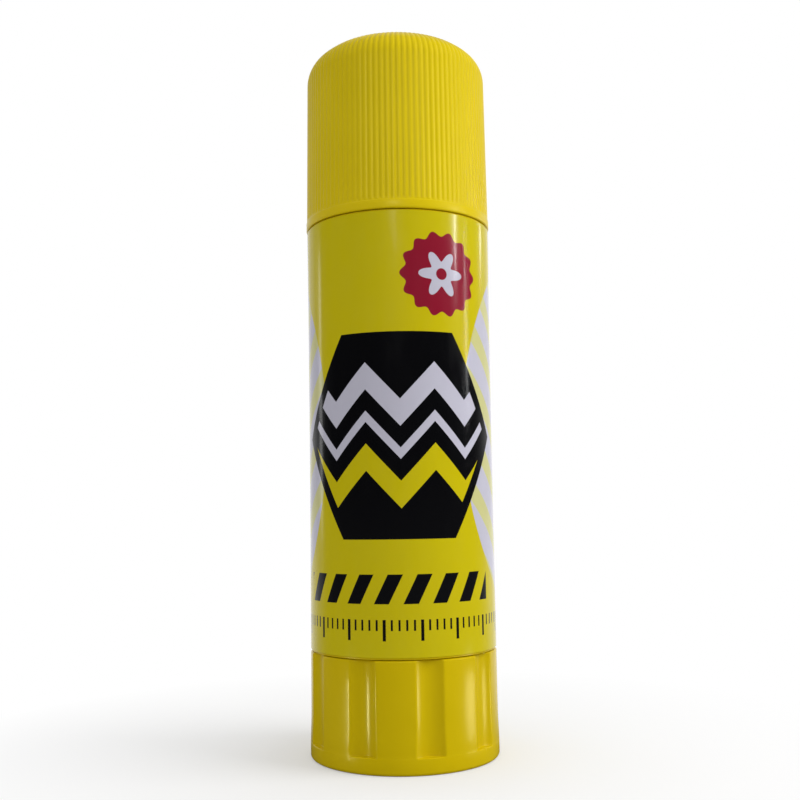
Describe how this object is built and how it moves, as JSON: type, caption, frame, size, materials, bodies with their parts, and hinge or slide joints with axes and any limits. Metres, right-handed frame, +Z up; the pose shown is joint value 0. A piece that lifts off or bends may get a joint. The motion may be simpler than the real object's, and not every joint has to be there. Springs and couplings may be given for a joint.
{
  "type": "glue stick",
  "caption": "Upright glue stick: ribbed push-on cap, printed label on a round barrel, and a fluted knob at the foot that winds the glue up on a lead screw.",
  "frame": {"origin": "middle of the knob's underside, on the stick's axis", "axes": "+Z up the stick from the knob to the cap; -Y towards the front of the label; +X to the right seen from the front"},
  "size_m": [0.0266, 0.0266, 0.1006],
  "materials": {
    "cap_plastic": "semi-gloss yellow polypropylene",
    "knob_plastic": "glossy yellow polypropylene",
    "barrel_plastic": "semi-gloss yellow polypropylene",
    "label_film": "glossy printed film",
    "screw_plastic": "natural white polypropylene",
    "carrier_plastic": "natural white polypropylene",
    "glue": "waxy off-white solid glue"
  },
  "bodies": {
    "barrel": {"barrel": "barrel_plastic", "label": "label_film"},
    "knob": {"knob": "knob_plastic", "spindle": "screw_plastic"},
    "carrier": {"carrier": "carrier_plastic", "glue": "glue"},
    "cap": {"cap": "cap_plastic"}
  },
  "joints": [
    {"name": "knob_turn", "type": "hinge", "parent": "barrel", "child": "knob", "pos_m": [0, 0, 0], "axis": [0, 0, 1], "range_deg": [0, 3600]},
    {"name": "glue_lift", "type": "slide", "parent": "barrel", "child": "carrier", "axis": [0, 0, 1], "range_m": [0, 0.05]},
    {"name": "cap_pull", "type": "slide", "parent": "carrier", "child": "cap", "axis": [0, 0, 1], "range_m": [0, 0.035]}
  ],
  "couplings": [
    {"joint": "knob_turn", "follows": "glue_lift", "rad_per_m": 1256.6}
  ]
}
